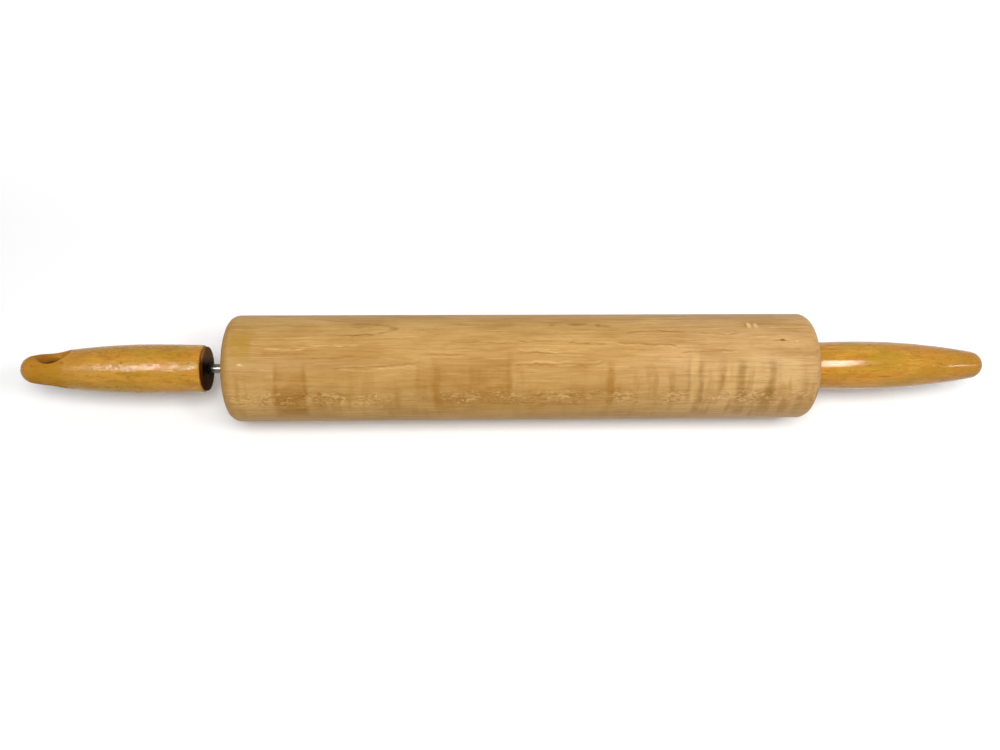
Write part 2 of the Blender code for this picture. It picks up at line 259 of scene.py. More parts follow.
def makeLoopGroup():
    # The rounded end of a growth line, where the saw ran along the rings. It fades out to the left.
    tree, given, result = newGroup(
        "grainLoop",
        {"Float": ["Along", "Around", "Middle Along", "Middle Round", "Half Length", "Half Width", "Width"]},
        {"Float": ["Mask"]})
    aside = maths(tree, "SUBTRACT", given["Along"], given["Middle Along"])
    above = maths(tree, "SUBTRACT", given["Around"], given["Middle Round"])
    u = maths(tree, "DIVIDE", aside, given["Half Length"])
    v = maths(tree, "DIVIDE", above, given["Half Width"])
    squares = maths(tree, "ADD", times(tree, u, u), times(tree, v, v))
    off = maths(tree, "ABSOLUTE", maths(tree, "SUBTRACT", maths(tree, "SQRT", squares), 1.0))
    line = thinLine(tree, times(tree, off, given["Half Width"]), given["Width"])
    return endGroup(tree, result, Mask=times(tree, line, ramp(tree, u, -0.5, 0.3)))


spotGroup = makeSpotGroup()
patchGroup = makePatchGroup()
grainLineGroup = makeGrainLineGroup()
loopGroup = makeLoopGroup()
ringGroup = makeRingGroup()
fibreGroup = makeFibreGroup()
scuffGroup = makeScuffGroup()


def newFinish(name, plain, centre):
    # A material with its plain values set, and the piece's own coordinates measured from a centre.
    material = bpy.data.materials.new(name)
    material.use_nodes = True
    tree = material.node_tree
    shader = tree.nodes["Principled BSDF"]
    for label, value in plain.items():
        shader.inputs[label].default_value = value
    place = tree.nodes.new("ShaderNodeTexCoord").outputs
    own = vectorMaths(tree, "SUBTRACT", place["Object"], centre)
    return material, tree, shader, own


def streakedGloss(tree, streak, look):
    swing = look["roughnessSwing"]
    return maths(tree, "MULTIPLY_ADD", streak, swing, look["roughness"] - swing / 2)


def addRelief(tree, shader, height, relief):
    strength, distance = relief
    bump = addNode(tree, "ShaderNodeBump", {"Strength": strength, "Distance": distance, "Height": height})
    tree.links.new(bump.outputs[0], shader.inputs["Normal"])


def fluttered(tree, vector, scale, amount):
    # The vector pushed about by a little noise, so that what is drawn on it isn't straight.
    drift = addNode(tree, "ShaderNodeTexNoise", {"Vector": mapped(tree, vector, scale), "Scale": 1.0})
    centred = vectorMaths(tree, "SUBTRACT", drift.outputs["Color"], (0.5, 0.5, 0.5))
    return vectorMaths(tree, "ADD", vector, vectorMaths(tree, "MULTIPLY", centred, amount))


def spot(tree, vector, centre, reach, edge):
    return useGroup(tree, spotGroup, Vector=vector, Centre=centre, Reach=reach, Edge=edge)["Mask"]


def ringsOf(tree, vector, look):
    return useGroup(tree, ringGroup, **{
        "Vector": vector, "Pith Depth": look["pithDepth"], "Spacing": look["ringSpacing"],
        "Taper": look["ringTaper"], "Wave": look["ringWave"]})


def onBarrel(along, degrees):
    # A point of the barrel's surface, measured from its middle: degrees from straight up towards -Y.
    turn = math.radians(degrees)
    return (along, -barrelRadius * math.sin(turn), barrelRadius * math.cos(turn))


# The barrel's maple: flat-sawn up and away, with rays and curl on the side towards the camera.

mapleLook = {
    "light": (0.505, 0.288, 0.088, 1.0),
    "deep": (0.340, 0.166, 0.034, 1.0),
    "line": (0.250, 0.105, 0.022, 1.0),
    "brown": (0.290, 0.116, 0.008, 1.0),
    "drab": (0.275, 0.138, 0.026, 1.0),
    "pale": (0.760, 0.500, 0.200, 1.0),
    "yellow": (0.400, 0.225, 0.025, 1.0),
    "worn": (0.590, 0.355, 0.122, 1.0),
    "rose": (0.640, 0.400, 0.190, 1.0),
    "specular": 0.06,
    "roughness": 0.40,
    "roughnessSwing": 0.16,
    "relief": (0.35, 0.0001),       # its strength, and its depth in metres
    "flatFace": -29.0,      # the way the flat-sawn face looks, degrees from straight up
    "pithDepth": 0.115,
    "ringSpacing": 0.0029,
    "ringTaper": 0.016,
    "ringWave": 0.0050,
    "wornWash": (0.32, 0.70, 1.00),
    "roseWash": (0.02, 0.15, 0.55),
    "shadeWash": (0.40, 0.72, 0.40),
    "streakWash": (0.42, 0.74, 0.55),
    "paleShare": 0.36,
    "poreShare": 0.26,
    "rayRow": 0.0004,       # the ray flecks' row, above the quarter-sawn line
    "rayReach": (0.0020, 0.0084),
    "rayPale": 0.46,
    "rayDark": 0.44,
    "lineWidth": 0.00075,
    "lineWander": 0.0042,
    "lineFade": 0.004,
    "stainBlur": 0.0016,
    "spotEdge": 0.35,
}

# Marks on the barrel: colour, metres from its middle, degrees, half length, half height, strength.
barrelStains = [
    ("brown", -0.1463, 42.0, 0.0100, 0.0124, 0.34),
    ("brown", -0.1470, 67.0, 0.0102, 0.0122, 0.62),
    ("brown", -0.1550, 41.0, 0.0012, 0.0130, 0.34),
    ("brown", -0.1377, 41.0, 0.0012, 0.0130, 0.42),
    ("brown", -0.1290, 62.0, 0.0040, 0.0080, 0.40),
    ("brown", -0.1195, 66.0, 0.0030, 0.0086, 0.34),
    ("brown", -0.1110, 60.0, 0.0016, 0.0070, 0.34),
    ("brown", -0.1800, 48.0, 0.0014, 0.0100, 0.34),
    ("brown", -0.1748, 49.0, 0.0009, 0.0100, 0.30),
    ("brown", -0.0335, 40.0, 0.0245, 0.0172, 0.27),
    ("brown", -0.0610, 45.0, 0.0074, 0.0150, 0.24),
    ("brown", -0.0220, 39.0, 0.0130, 0.0120, 0.26),
    ("brown", -0.0545, 50.0, 0.0024, 0.0150, 0.34),
    ("brown", -0.0092, 42.0, 0.0020, 0.0190, 0.34),
    ("brown", -0.0800, 60.0, 0.0018, 0.0090, 0.40),
    ("brown", -0.0200, 62.0, 0.0340, 0.0080, 0.22),
    ("brown", 0.0546, 46.0, 0.0025, 0.0154, 0.56),
    ("brown", 0.0250, 60.0, 0.0240, 0.0080, 0.22),
    ("drab", 0.0937, 54.0, 0.0018, 0.0170, 0.30),
    ("drab", 0.1038, 38.0, 0.0009, 0.0190, 0.30),
    ("drab", 0.1117, 42.0, 0.0017, 0.0134, 0.56),
    ("drab", 0.1110, 70.0, 0.0028, 0.0112, 0.50),
    ("drab", 0.1255, 38.0, 0.0009, 0.0105, 0.40),
    ("drab", 0.1378, 42.0, 0.0024, 0.0136, 0.54),
    ("drab", 0.1385, 74.0, 0.0032, 0.0120, 0.48),
    ("drab", 0.1577, 42.0, 0.0021, 0.0136, 0.62),
    ("drab", 0.1557, 56.0, 0.0026, 0.0086, 0.55),
    ("drab", 0.1548, 73.0, 0.0034, 0.0104, 0.50),
    ("drab", 0.1791, 52.0, 0.0013, 0.0086, 0.44),
    ("drab", 0.1770, 78.0, 0.0020, 0.0090, 0.36),
    ("pale", 0.1078, 38.0, 0.0024, 0.0180, 0.30),
    ("pale", 0.1186, 40.0, 0.0042, 0.0140, 0.22),
    ("pale", 0.1315, 38.0, 0.0032, 0.0140, 0.22),
    ("pale", 0.1460, 38.0, 0.0036, 0.0150, 0.20),
    ("pale", 0.1690, 42.0, 0.0056, 0.0160, 0.24),
    ("yellow", -0.1766, 3.0, 0.0062, 0.0086, 0.42),
    ("yellow", -0.1774, -1.0, 0.0064, 0.0122, 0.24),
    ("yellow", -0.1788, -12.0, 0.0052, 0.0106, 0.26),
]
barrelSpots = [
    ("line", 0.1651, -2.5, 0.0022, 0.0011, 1.00),
    ("line", 0.1640, -2.0, 0.0080, 0.0006, 0.55),
    ("pale", 0.1740, -1.2, 0.0012, 0.0009, 0.75),
    ("pale", 0.1455, -23.5, 0.0022, 0.0038, 0.85),
    ("pale", 0.1500, -23.0, 0.0020, 0.0036, 0.70),
    ("line", 0.1432, -23.0, 0.0010, 0.0030, 0.40),
    ("line", 0.0345, -26.0, 0.0085, 0.0020, 0.50),
    ("line", 0.0480, -24.0, 0.0030, 0.0026, 0.45),
    ("line", 0.0530, -22.5, 0.0040, 0.0012, 0.40),
    ("line", 0.0180, -24.5, 0.0030, 0.0012, 0.40),
    # a painted glint: a small pale fleck where the lamps' highlight falls near the left end
    ("pale", -0.1772, 22.0, 0.0026, 0.0009, 0.80),
]
# Growth lines: colour, metres from and to, degrees at either end, strength.
barrelLines = [
    ("line", -0.1510, -0.1330, -9.8, -9.8, 0.45),
    ("line", -0.1270, -0.0930, -10.8, -10.7, 0.55),
    ("line", -0.1420, -0.1020, -43.0, -28.0, 0.30),
    ("line", -0.0480, -0.0020, -1.8, -0.2, 0.42),
    ("line", -0.0060, 0.0200, -1.4, -2.3, 0.55),
    ("line", 0.0250, 0.0530, -1.1, 1.6, 0.55),
    ("line", 0.0560, 0.0980, -0.9, 2.9, 0.46),
    ("line", 0.0640, 0.0850, -12.1, -16.2, 0.50),
    ("line", 0.0830, 0.1030, -16.2, -14.2, 0.70),
    ("line", 0.1040, 0.1310, -13.4, -9.0, 0.46),
    ("line", 0.1290, 0.1410, -9.0, -13.0, 0.42),
    ("line", -0.0050, 0.0240, 9.8, 12.2, 0.44),
    ("line", 0.0980, 0.1350, 10.8, 8.7, 0.48),
    ("line", 0.1030, 0.1260, 1.8, 1.9, 0.32),
    ("line", -0.0070, 0.0560, 23.4, 22.8, 0.50),
    ("line", -0.1660, -0.1400, 9.8, 8.8, 0.44),
    ("line", -0.1350, -0.1050, 16.2, 14.3, 0.44),
    ("line", -0.1060, -0.0680, 14.3, 16.7, 0.30),
    ("line", -0.0620, -0.0350, 11.5, 11.7, 0.50),
    ("line", -0.1210, -0.0980, 26.5, 24.7, 0.50),
    ("line", -0.0990, -0.0660, 24.7, 20.8, 0.44),
    ("pale", -0.1640, -0.1360, 5.2, 6.6, 0.55),
    ("pale", -0.1370, -0.1120, 2.2, 2.4, 0.60),
    ("pale", -0.1000, -0.0660, 27.4, 23.4, 0.55),
    ("pale", -0.0050, 0.0240, 7.2, 9.6, 0.40),
    ("pale", -0.0070, 0.0500, 20.6, 20.2, 0.42),
    ("pale", 0.0560, 0.0980, 1.6, 5.2, 0.36),
]
# Loop ends: metres and degrees of the middle, half length, half width, strength.
barrelLoops = [
    (-0.1123, -19.0, 0.0300, 0.0054, 0.60),
    (-0.1140, -19.0, 0.0200, 0.0026, 0.22),
]


def mapleFinish(look):
    plain = {"Roughness": look["roughness"], "Specular IOR Level": look["specular"]}
    material, tree, shader, own = newFinish("mapleBarrel", plain, (barrelX, 0.0, axisZ))
    wavy = fluttered(tree, own, (60.0, 40.0, 40.0), (0.0, 0.0014, 0.0014))
    sawn = mapped(tree, wavy, turn=(-math.radians(look["flatFace"]), 0.0, 0.0))
    rings = ringsOf(tree, sawn, look)
    fibres = useGroup(tree, fibreGroup, Vector=wavy, Fineness=1.0)
    parts = splitVector(tree, sawn)
    # 0 where the wood is flat-sawn, 1 where it is quarter-sawn
    quarter = maths(tree, "DIVIDE", maths(tree, "ABSOLUTE", parts["Y"]), fromAxis(tree, sawn))

    colour = washed(tree, look["light"], fibres["Cloud"], look["wornWash"], look["worn"])
    colour = washed(tree, colour, parts["X"], look["roseWash"], look["rose"])
    shades = noise(tree, own, (22.0, 60.0, 60.0), 3.0, move=(4.0, 8.0, 1.0))
    colour = washed(tree, colour, shades, look["shadeWash"], look["deep"])
    colour = washed(tree, colour, fibres["Streak"], look["streakWash"], look["deep"])
    faceLines = ramp(tree, quarter, 0.80, 0.98, 1.0, 0.35)
    colour = tinted(tree, colour, times(tree, fibres["Pale"], faceLines), look["paleShare"], look["pale"])
    ringDepth = times(tree, rings["Line"], ramp(tree, rings["Tone"], 0.35, 0.9, 0.05, 0.34))
    ringDepth = times(tree, ringDepth, ramp(tree, quarter, 0.55, 0.95, 1.0, 0.3))
    colour = blendColour(tree, ringDepth, colour, look["line"])
    colour = tinted(tree, colour, fibres["Pore"], look["poreShare"], look["line"])

    # curl: soft bands across the grain
    bands = noise(tree, wavy, (125.0, 30.0, 30.0), 2.5, 0.5, move=(2.0, 0.0, 0.0))
    strong = ramp(tree, parts["X"], 0.045, 0.110, 0.40, 1.0)
    curl = times(tree, ramp(tree, bands, 0.50, 0.66, 0.0, 0.42), ramp(tree, quarter, 0.74, 0.92))
    colour = tinted(tree, colour, curl, strong, look["brown"])

    # growth lines, placed along and round the barrel
    flat = splitVector(tree, own)
    turned = maths(tree, "ARCTAN2", times(tree, flat["Y"], -1.0), flat["Z"])
    ripple = noise(tree, own, (90.0, 40.0, 40.0), 3.0, 0.6, move=(6.0, 2.0, 1.0))
    wander = times(tree, maths(tree, "SUBTRACT", ripple, 0.5), look["lineWander"])
    arc = maths(tree, "MULTIPLY_ADD", turned, barrelRadius, wander)
    thick = ramp(tree, noise(tree, own, (120.0, 200.0, 200.0), 1.0), 0.35, 0.65, 0.35, 1.0)
    for shade, start, end, fromTurn, toTurn, strength in barrelLines:
        mask = useGroup(tree, grainLineGroup, **{
            "Along": flat["X"], "Around": arc, "From": start, "To": end,
            "Start Round": math.radians(fromTurn) * barrelRadius,
            "End Round": math.radians(toTurn) * barrelRadius,
            "Width": look["lineWidth"], "Fade": look["lineFade"]})["Mask"]
        colour = tinted(tree, colour, times(tree, mask, thick), strength, look[shade])
    for along, degrees, length, width, strength in barrelLoops:
        mask = useGroup(tree, loopGroup, **{
            "Along": flat["X"], "Around": arc, "Middle Along": along,
            "Middle Round": math.radians(degrees) * barrelRadius,
            "Half Length": length, "Half Width": width, "Width": look["lineWidth"]})["Mask"]
        colour = tinted(tree, colour, times(tree, mask, thick), strength, look["line"])

    # ray flecks
    offRow = maths(tree, "ABSOLUTE", maths(tree, "SUBTRACT", parts["Z"], look["rayRow"]))
    row = ramp(tree, offRow, *look["rayReach"], 1.0, 0.0)
    specks = noise(tree, wavy, (190.0, 480.0, 480.0), 2.0, 0.6, 1.6)
    spread = noise(tree, own, (60.0, 60.0, 60.0), move=(1.0, 0.0, 0.0))
    gaps = ramp(tree, spread, 0.40, 0.58, 0.22, 1.0)
    rays = times(tree, row, gaps)
    palest = times(tree, ramp(tree, specks, 0.54, 0.60), rays)
    darkest = times(tree, ramp(tree, specks, 0.40, 0.46, 1.0, 0.0), rays)

    # stains and bands with bowed, ragged edges, then the flecks over them
    bowed = fluttered(tree, own, (30.0, 70.0, 70.0), (0.0040, 0.0, 0.0))
    ragged = fluttered(tree, bowed, (240.0, 120.0, 120.0), (0.0018, 0.0018, 0.0018))
    broken = ramp(tree, noise(tree, own, (70.0, 160.0, 160.0), 3.0), 0.30, 0.60, 0.35, 1.0)
    for shade, along, degrees, length, height, strength in barrelStains:
        mask = useGroup(tree, patchGroup, **{
            "Vector": ragged, "Centre": onBarrel(along, degrees), "Half Length": length,
            "Half Height": height, "Blur": look["stainBlur"]})["Mask"]
        colour = tinted(tree, colour, times(tree, mask, broken), strength, look[shade])
    colour = tinted(tree, colour, palest, look["rayPale"], look["pale"])
    colour = tinted(tree, colour, darkest, look["rayDark"], look["line"])
    leftRim = ramp(tree, flat["X"], 0.0015 - barrelHalf, 0.0090 - barrelHalf, 0.40, 0.0)
    colour = blendColour(tree, leftRim, colour, look["deep"])
    grainy = fluttered(tree, own, (240.0, 240.0, 240.0), (0.0014, 0.0014, 0.0014))
    for shade, along, degrees, length, height, strength in barrelSpots:
        mask = spot(tree, grainy, onBarrel(along, degrees), (length, height, height), look["spotEdge"])
        colour = tinted(tree, colour, mask, strength, look[shade])
    tree.links.new(colour, shader.inputs["Base Color"])

    tree.links.new(streakedGloss(tree, fibres["Streak"], look), shader.inputs["Roughness"])
    height = maths(tree, "SUBTRACT", fibres["Streak"], times(tree, fibres["Pore"], 0.4))
    addRelief(tree, shader, height, look["relief"])
    return material


# The handles' amber varnish over maple, crazed and scuffed.

amberLook = {
    "light": (0.600, 0.298, 0.030, 1.0),
    "deep": (0.415, 0.172, 0.005, 1.0),
    "olive": (0.400, 0.225, 0.004, 1.0),
    "red": (0.560, 0.200, 0.012, 1.0),
    "dash": (0.250, 0.080, 0.000, 1.0),
    "crack": (0.265, 0.085, 0.000, 1.0),
    # the stain round the hang hole, also used as painted shade on its left wall and far lip
    "stainAndShade": (0.280, 0.098, 0.006, 1.0),
    # painted shade inside the hang hole, near black
    "bore": (0.028, 0.006, 0.0003, 1.0),
    "specular": 0.26,
    "roughness": 0.125,
    "roughnessSwing": 0.08,
    "relief": (0.8, 0.0005),
    "dullRoughness": 0.38,
    "bareRoughness": 0.95,
    "pithDepth": 0.06,
    "ringSpacing": 0.0034,
    "ringTaper": 0.05,
    "ringWave": 0.005,
    "streakWash": (0.36, 0.74, 0.75),
    "oliveWash": (0.46, 0.60, 0.60),
    "redWash": (0.48, 0.64, 0.50),
    "blotchWash": (0.52, 0.64, 0.55),
    "tipWash": (0.255, 0.312, 0.62),
    "dashWash": (0.61, 0.70, 0.55),
    "ringShare": 0.25,
    "crackShare": 0.38,
    "crackWidth": 0.075,
    "stainAndShadeShare": 0.85,
    "boreShadeShare": 0.95,
    "lipShadeShare": 0.80,
    "boreShadeReach": (0.0066, 0.0066, 0.0096),
    "stainAndShadeReach": (0.0094, 0.0100, 0.0150),
    "mouthReach": (0.0190, 0.0190, 0.0240),
}


def drillLip(tree, drilled, reach):
    # The edge where the flared hole meets the handle's outside, on the side away from the camera, where a
    # dark edge is painted as shade.
    split = splitVector(tree, drilled)
    wide = fromAxis(tree, drilled, (1.0, 1.0, 0.0))
    depth = maths(tree, "SUBTRACT", maths(tree, "ABSOLUTE", split["Z"]), reach["neck"])
    flare = maths(tree, "MULTIPLY_ADD", depth, reach["flare"], reach["radius"])
    beyond = maths(tree, "SUBTRACT", wide, flare)
    edge = ramp(tree, beyond, 0.0, 0.0004)
    edge = times(tree, edge, ramp(tree, beyond, 0.0010, 0.0022, 1.0, 0.0))
    return times(tree, edge, ramp(tree, split["Y"], -0.001, 0.003))


def amberFinish(look, holeFromTip, holeTilt, lipReach):
    plain = {"Roughness": look["roughness"], "Specular IOR Level": look["specular"]}
    material, tree, shader, own = newFinish("amberVarnish", plain, (0.0, 0.0, axisZ))
    wavy = fluttered(tree, own, (90.0, 60.0, 60.0), (0.0, 0.0016, 0.0016))
    fibres = useGroup(tree, fibreGroup, Vector=wavy, Fineness=1.5)
    rings = ringsOf(tree, wavy, look)
    colour = washed(tree, look["light"], fibres["Streak"], look["streakWash"], look["deep"])
    olives = noise(tree, own, (34.0, 90.0, 90.0), 3.0)
    colour = washed(tree, colour, olives, look["oliveWash"], look["olive"])
    reds = noise(tree, own, (40.0, 80.0, 80.0), 3.0, move=(5.0, 2.0, 1.0))
    colour = washed(tree, colour, reds, look["redWash"], look["red"])
    colour = tinted(tree, colour, rings["Line"], look["ringShare"], look["deep"])
    blotches = noise(tree, own, (110.0, 330.0, 330.0), move=(3.0, 7.0, 2.0))
    colour = washed(tree, colour, blotches, look["blotchWash"], look["deep"])
    parts = splitVector(tree, own)
    colour = washed(tree, colour, maths(tree, "ABSOLUTE", parts["X"]), look["tipWash"], look["deep"])
    dashes = noise(tree, wavy, (190.0, 900.0, 900.0), 1.5, move=(1.0, 2.0, 3.0))
    colour = washed(tree, colour, dashes, look["dashWash"], look["dash"])

    # crazing, on the left handle past its hole
    torn = fluttered(tree, own, (420.0, 420.0, 420.0), (0.0030, 0.0018, 0.0018))
    cells = addNode(tree, "ShaderNodeTexVoronoi",
                    {"Vector": mapped(tree, torn, (115.0, 220.0, 220.0)), "Scale": 1.0},
                    feature="DISTANCE_TO_EDGE").outputs["Distance"]
    patches = noise(tree, own, (60.0, 90.0, 90.0), move=(8.0, 3.0, 0.0))
    worn = ramp(tree, parts["X"], -0.1, 0.1, 1.0, 0.0)
    beyondHole = ramp(tree, parts["X"], -0.285, -0.262, 0.0, 1.0)
    crazed = times(tree, ramp(tree, patches, 0.48, 0.60), times(tree, worn, beyondHole))
    cracks = times(tree, ramp(tree, cells, 0.0, look["crackWidth"], 1.0, 0.0), crazed)
    colour = tinted(tree, colour, cracks, look["crackShare"], look["crack"])

    # the hang hole: stained round it, with painted shade on its left wall, painted shade inside and a painted
    # dark edge on its far lip
    hole = (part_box("left_handle")[0].x + holeFromTip, 0.0, 0.0)
    drilled = mapped(tree, vectorMaths(tree, "SUBTRACT", own, hole), turn=(math.radians(holeTilt), 0.0, 0.0))
    # stain round the hole, set off to the left so that it also paints shade on the hole's left wall
    stainedAndShaded = spot(tree, drilled, (-0.0040, 0.0, 0.0), look["stainAndShadeReach"], 0.55)
    colour = tinted(tree, colour, stainedAndShaded, look["stainAndShadeShare"], look["stainAndShade"])
    # painted shade deep inside the hole
    insideShade = spot(tree, drilled, (0.0, 0.0, 0.0), look["boreShadeReach"], 0.60)
    colour = tinted(tree, colour, insideShade, look["boreShadeShare"], look["bore"])
    # painted shade: a dark edge along the hole's far lip
    lip = drillLip(tree, drilled, lipReach)
    colour = tinted(tree, colour, lip, look["lipShadeShare"], look["stainAndShade"])
    tree.links.new(colour, shader.inputs["Base Color"])

    # brush ripples, and varnish gone dull in flakes
    lumps = noise(tree, own, (220.0, 340.0, 340.0), 3.0, 0.6)
    rougher = ramp(tree, parts["X"], 0.24, 0.29, 0.10, 0.5)
    share = maths(tree, "MAXIMUM", rougher, worn)
    height = maths(tree, "SUBTRACT", lumps, times(tree, cracks, 0.04))
    addRelief(tree, shader, times(tree, height, share), look["relief"])
    flakes = noise(tree, own, (210.0, 420.0, 420.0), 3.0, 0.6, 0.8, move=(2.0, 6.0, 4.0))
    dull = times(tree, ramp(tree, flakes, 0.46, 0.52), worn)
    mouth = spot(tree, drilled, (0.0, 0.0, 0.0), look["mouthReach"], 0.70)
    gloss = streakedGloss(tree, fibres["Streak"], look)
    gloss = blendValue(tree, dull, gloss, look["dullRoughness"])
    gloss = blendValue(tree, mouth, gloss, look["bareRoughness"])
    tree.links.new(gloss, shader.inputs["Roughness"])
    return material


# The collars' dark moulded plastic, reddish below, with a painted sheen and a little grime above.

collarLook = {
    "dark": (0.0035, 0.0015, 0.0008, 1.0),
    "brown": (0.052, 0.012, 0.003, 1.0),
    # the colour of the painted sheen on the upper side, mixed with a little grime
    "dustySheen": (0.240, 0.106, 0.036, 1.0),
    "specular": 0.004,
    "roughness": 0.30,
    # the direction in which the painted sheen grows across the face
    "sheenSide": (0.0, 0.90, 0.42),
}


def collarFinish(look):
    material, tree, shader, own = newFinish(
        "darkPhenolic", {"Specular IOR Level": look["specular"]}, (0.0, 0.0, axisZ))
    scuffs = useGroup(tree, scuffGroup, Vector=own, Density=0.5)
    rim = ramp(tree, fromAxis(tree, own), 0.0118, 0.0142)
    height = vectorMaths(tree, "DOT_PRODUCT", own, look["sheenSide"])
    lower = ramp(tree, height, -0.008, -0.001, 0.85, 0.0)
    share = maths(tree, "MAXIMUM", maths(tree, "MULTIPLY_ADD", scuffs["Grime"], 0.2, lower), rim)
    colour = blendColour(tree, share, look["dark"], look["brown"])
    # painted sheen: the upper side of the face is lightened as if it caught light, with a little grime in it
    sheenAndDust = maths(tree, "MULTIPLY_ADD", scuffs["Grime"], 0.2, 0.75)
    sheenAndDust = times(tree, ramp(tree, height, 0.0025, 0.0085), sheenAndDust)
    tree.links.new(blendColour(tree, sheenAndDust, colour, look["dustySheen"]), shader.inputs["Base Color"])
    rough = maths(tree, "MULTIPLY_ADD", scuffs["Scuff"], 0.25, look["roughness"])
    tree.links.new(rough, shader.inputs["Roughness"])
    return material


# The rod's steel, the races' and balls', and that of the shields and cages.

steelLooks = {
    "drawnSteel": {"bright": (0.16, 0.16, 0.15, 1.0), "dull": (0.09, 0.075, 0.055, 1.0),
                   "roughness": 0.20, "scuffs": 0.8},
    "polishedSteel": {"bright": (0.56, 0.56, 0.57, 1.0), "dull": (0.36, 0.34, 0.31, 1.0),
                      "roughness": 0.14, "scuffs": 0.3},
    "pressedSteel": {"bright": (0.42, 0.42, 0.43, 1.0), "dull": (0.24, 0.22, 0.19, 1.0),
                     "roughness": 0.30, "scuffs": 0.8},
}


def steelFinish(name, look):
    material, tree, shader, own = newFinish(name, {"Metallic": 1.0}, (0.0, 0.0, axisZ))
    scuffs = useGroup(tree, scuffGroup, Vector=own, Density=look["scuffs"])
    colour = blendColour(tree, scuffs["Grime"], look["bright"], look["dull"])
    tree.links.new(colour, shader.inputs["Base Color"])
    rough = maths(tree, "MULTIPLY_ADD", scuffs["Scuff"], 0.3, look["roughness"])
    tree.links.new(rough, shader.inputs["Roughness"])
    addRelief(tree, shader, scuffs["Scuff"], (0.2, 0.00003))
    return material


# The hang hole across the left handle, for its shape and for the stain and painted shade round it.
hangHole = {
    "fromTip": 0.0208,
    "radius": 0.0045,
    "sinkRadius": 0.0113,
    "sinkHalfAngle": 50.0,
    "tilt": 37.0,            # degrees from upright, its top leaning away from the camera
    "lip": {"neck": 0.0055, "flare": 1.192, "radius": 0.0045},    # flare: radius gained per depth
}

maple = mapleFinish(mapleLook)
amber = amberFinish(amberLook, hangHole["fromTip"], hangHole["tilt"], hangHole["lip"])
phenolic = collarFinish(collarLook)
rodSteel, raceSteel, sheetSteel = [steelFinish(name, look) for name, look in steelLooks.items()]
print("finishes made")


# Turning: a Geometry Nodes lathe that rounds an outline's corners and sweeps it round the pin's axis.

def newObject(name, data):
    made = bpy.data.objects.new(name, data)
    bpy.context.scene.collection.objects.link(made)
    return made


def endTree(tree, geometry, finish, target):
    real = addNode(tree, "GeometryNodeRealizeInstances", {"Geometry": geometry})
    dressed = addNode(tree, "GeometryNodeSetMaterial", {"Geometry": real.outputs[0], "Material": finish})
    tree.links.new(dressed.outputs[0], target)


def standUp(tree, geometry, place):
    # What was made round Z now stands round X.
    made = addNode(tree, "GeometryNodeTransform",
                   {"Geometry": geometry, "Translation": place, "Rotation": (0.0, math.pi / 2, 0.0)})
    return made.outputs[0]


def makeLatheTree():
    tree, given, result = newGroup(
        "turnOnLathe",
        {"Geometry": ["Outline"], "Int": ["Facets", "Corner Steps"], "Float": ["Axis Height"],
         "Material": ["Finish"]},
        {"Geometry": ["Turned"]}, "GeometryNodeTree")
    curve = addNode(tree, "GeometryNodeMeshToCurve", {"Mesh": given["Outline"]})
    rounding = addNode(tree, "GeometryNodeInputNamedAttribute", {"Name": "rounding"}, data_type="FLOAT")
    fillet = addNode(tree, "GeometryNodeFilletCurve",
                     {"Curve": curve.outputs[0], "Count": given["Corner Steps"],
                      "Radius": rounding.outputs[0], "Limit Radius": False}, mode="POLY")
    spindle = addNode(tree, "GeometryNodeCurvePrimitiveCircle",
                      {"Resolution": given["Facets"], "Radius": 1e-7})
    sweep = addNode(tree, "GeometryNodeCurveToMesh",
                    {"Curve": spindle.outputs[0], "Profile Curve": fillet.outputs[0]})
    lift = addNode(tree, "ShaderNodeCombineXYZ", {2: given["Axis Height"]})
    laid = standUp(tree, sweep.outputs[0], lift.outputs[0])
    welded = addNode(tree, "GeometryNodeMergeByDistance", {"Geometry": laid, "Distance": 2e-6})
    endTree(tree, welded.outputs[0], given["Finish"], result[0])
    return tree


def runTree(source, tree, values):
    # A modifier that runs the tree, with its inputs set by their labels.
    modifier = source.modifiers.new(tree.name, "NODES")
    modifier.node_group = tree
    for item in tree.interface.items_tree:
        if item.in_out == "INPUT" and item.name in values:
            modifier[item.identifier] = values[item.name]


def plainMesh(name, source):
    # The evaluated object as a closed mesh of its own, with its normals out.
    graph = bpy.context.evaluated_depsgraph_get()
    mesh = bpy.data.meshes.new_from_object(source.evaluated_get(graph))
    bpy.data.objects.remove(source)
    shape = bmesh.new()
    shape.from_mesh(mesh)
    bmesh.ops.remove_doubles(shape, verts=shape.verts, dist=1e-6)
    bmesh.ops.recalc_face_normals(shape, faces=shape.faces)
    shape.to_mesh(mesh)
    shape.free()
    mesh.name = name
    return mesh


def addPiece(name, mesh, body, replaced, sharp=32.0):
    mesh.shade_smooth()
    mesh.set_sharp_from_angle(angle=math.radians(sharp))
    piece = newObject(name, mesh)
    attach(piece, body)
    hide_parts(*replaced)


def turnedMesh(name, outline, finish, closed=True, facets=192, cornerSteps=8):
    # The outline is a list of (x, radius, rounding of that corner).
    points = [(r, -x, 0.0) for x, r, _ in outline]
    edges = [(i, i + 1) for i in range(len(points) - 1)]
    if closed:
        edges.append((len(points) - 1, 0))
    mesh = bpy.data.meshes.new(name + "Outline")
    mesh.from_pydata(points, edges, [])
    rounding = mesh.attributes.new("rounding", "FLOAT", "POINT")
    rounding.data.foreach_set("value", [r for _, _, r in outline])
    blank = newObject(name + "Blank", mesh)
    runTree(blank, latheTree,
            {"Facets": facets, "Corner Steps": cornerSteps, "Axis Height": axisZ, "Finish": finish})
    return plainMesh(name, blank)


def addTurned(name, outline, finish, body, slot, node, **making):
    addPiece(name, turnedMesh(name, outline, finish, **making), body, [node])


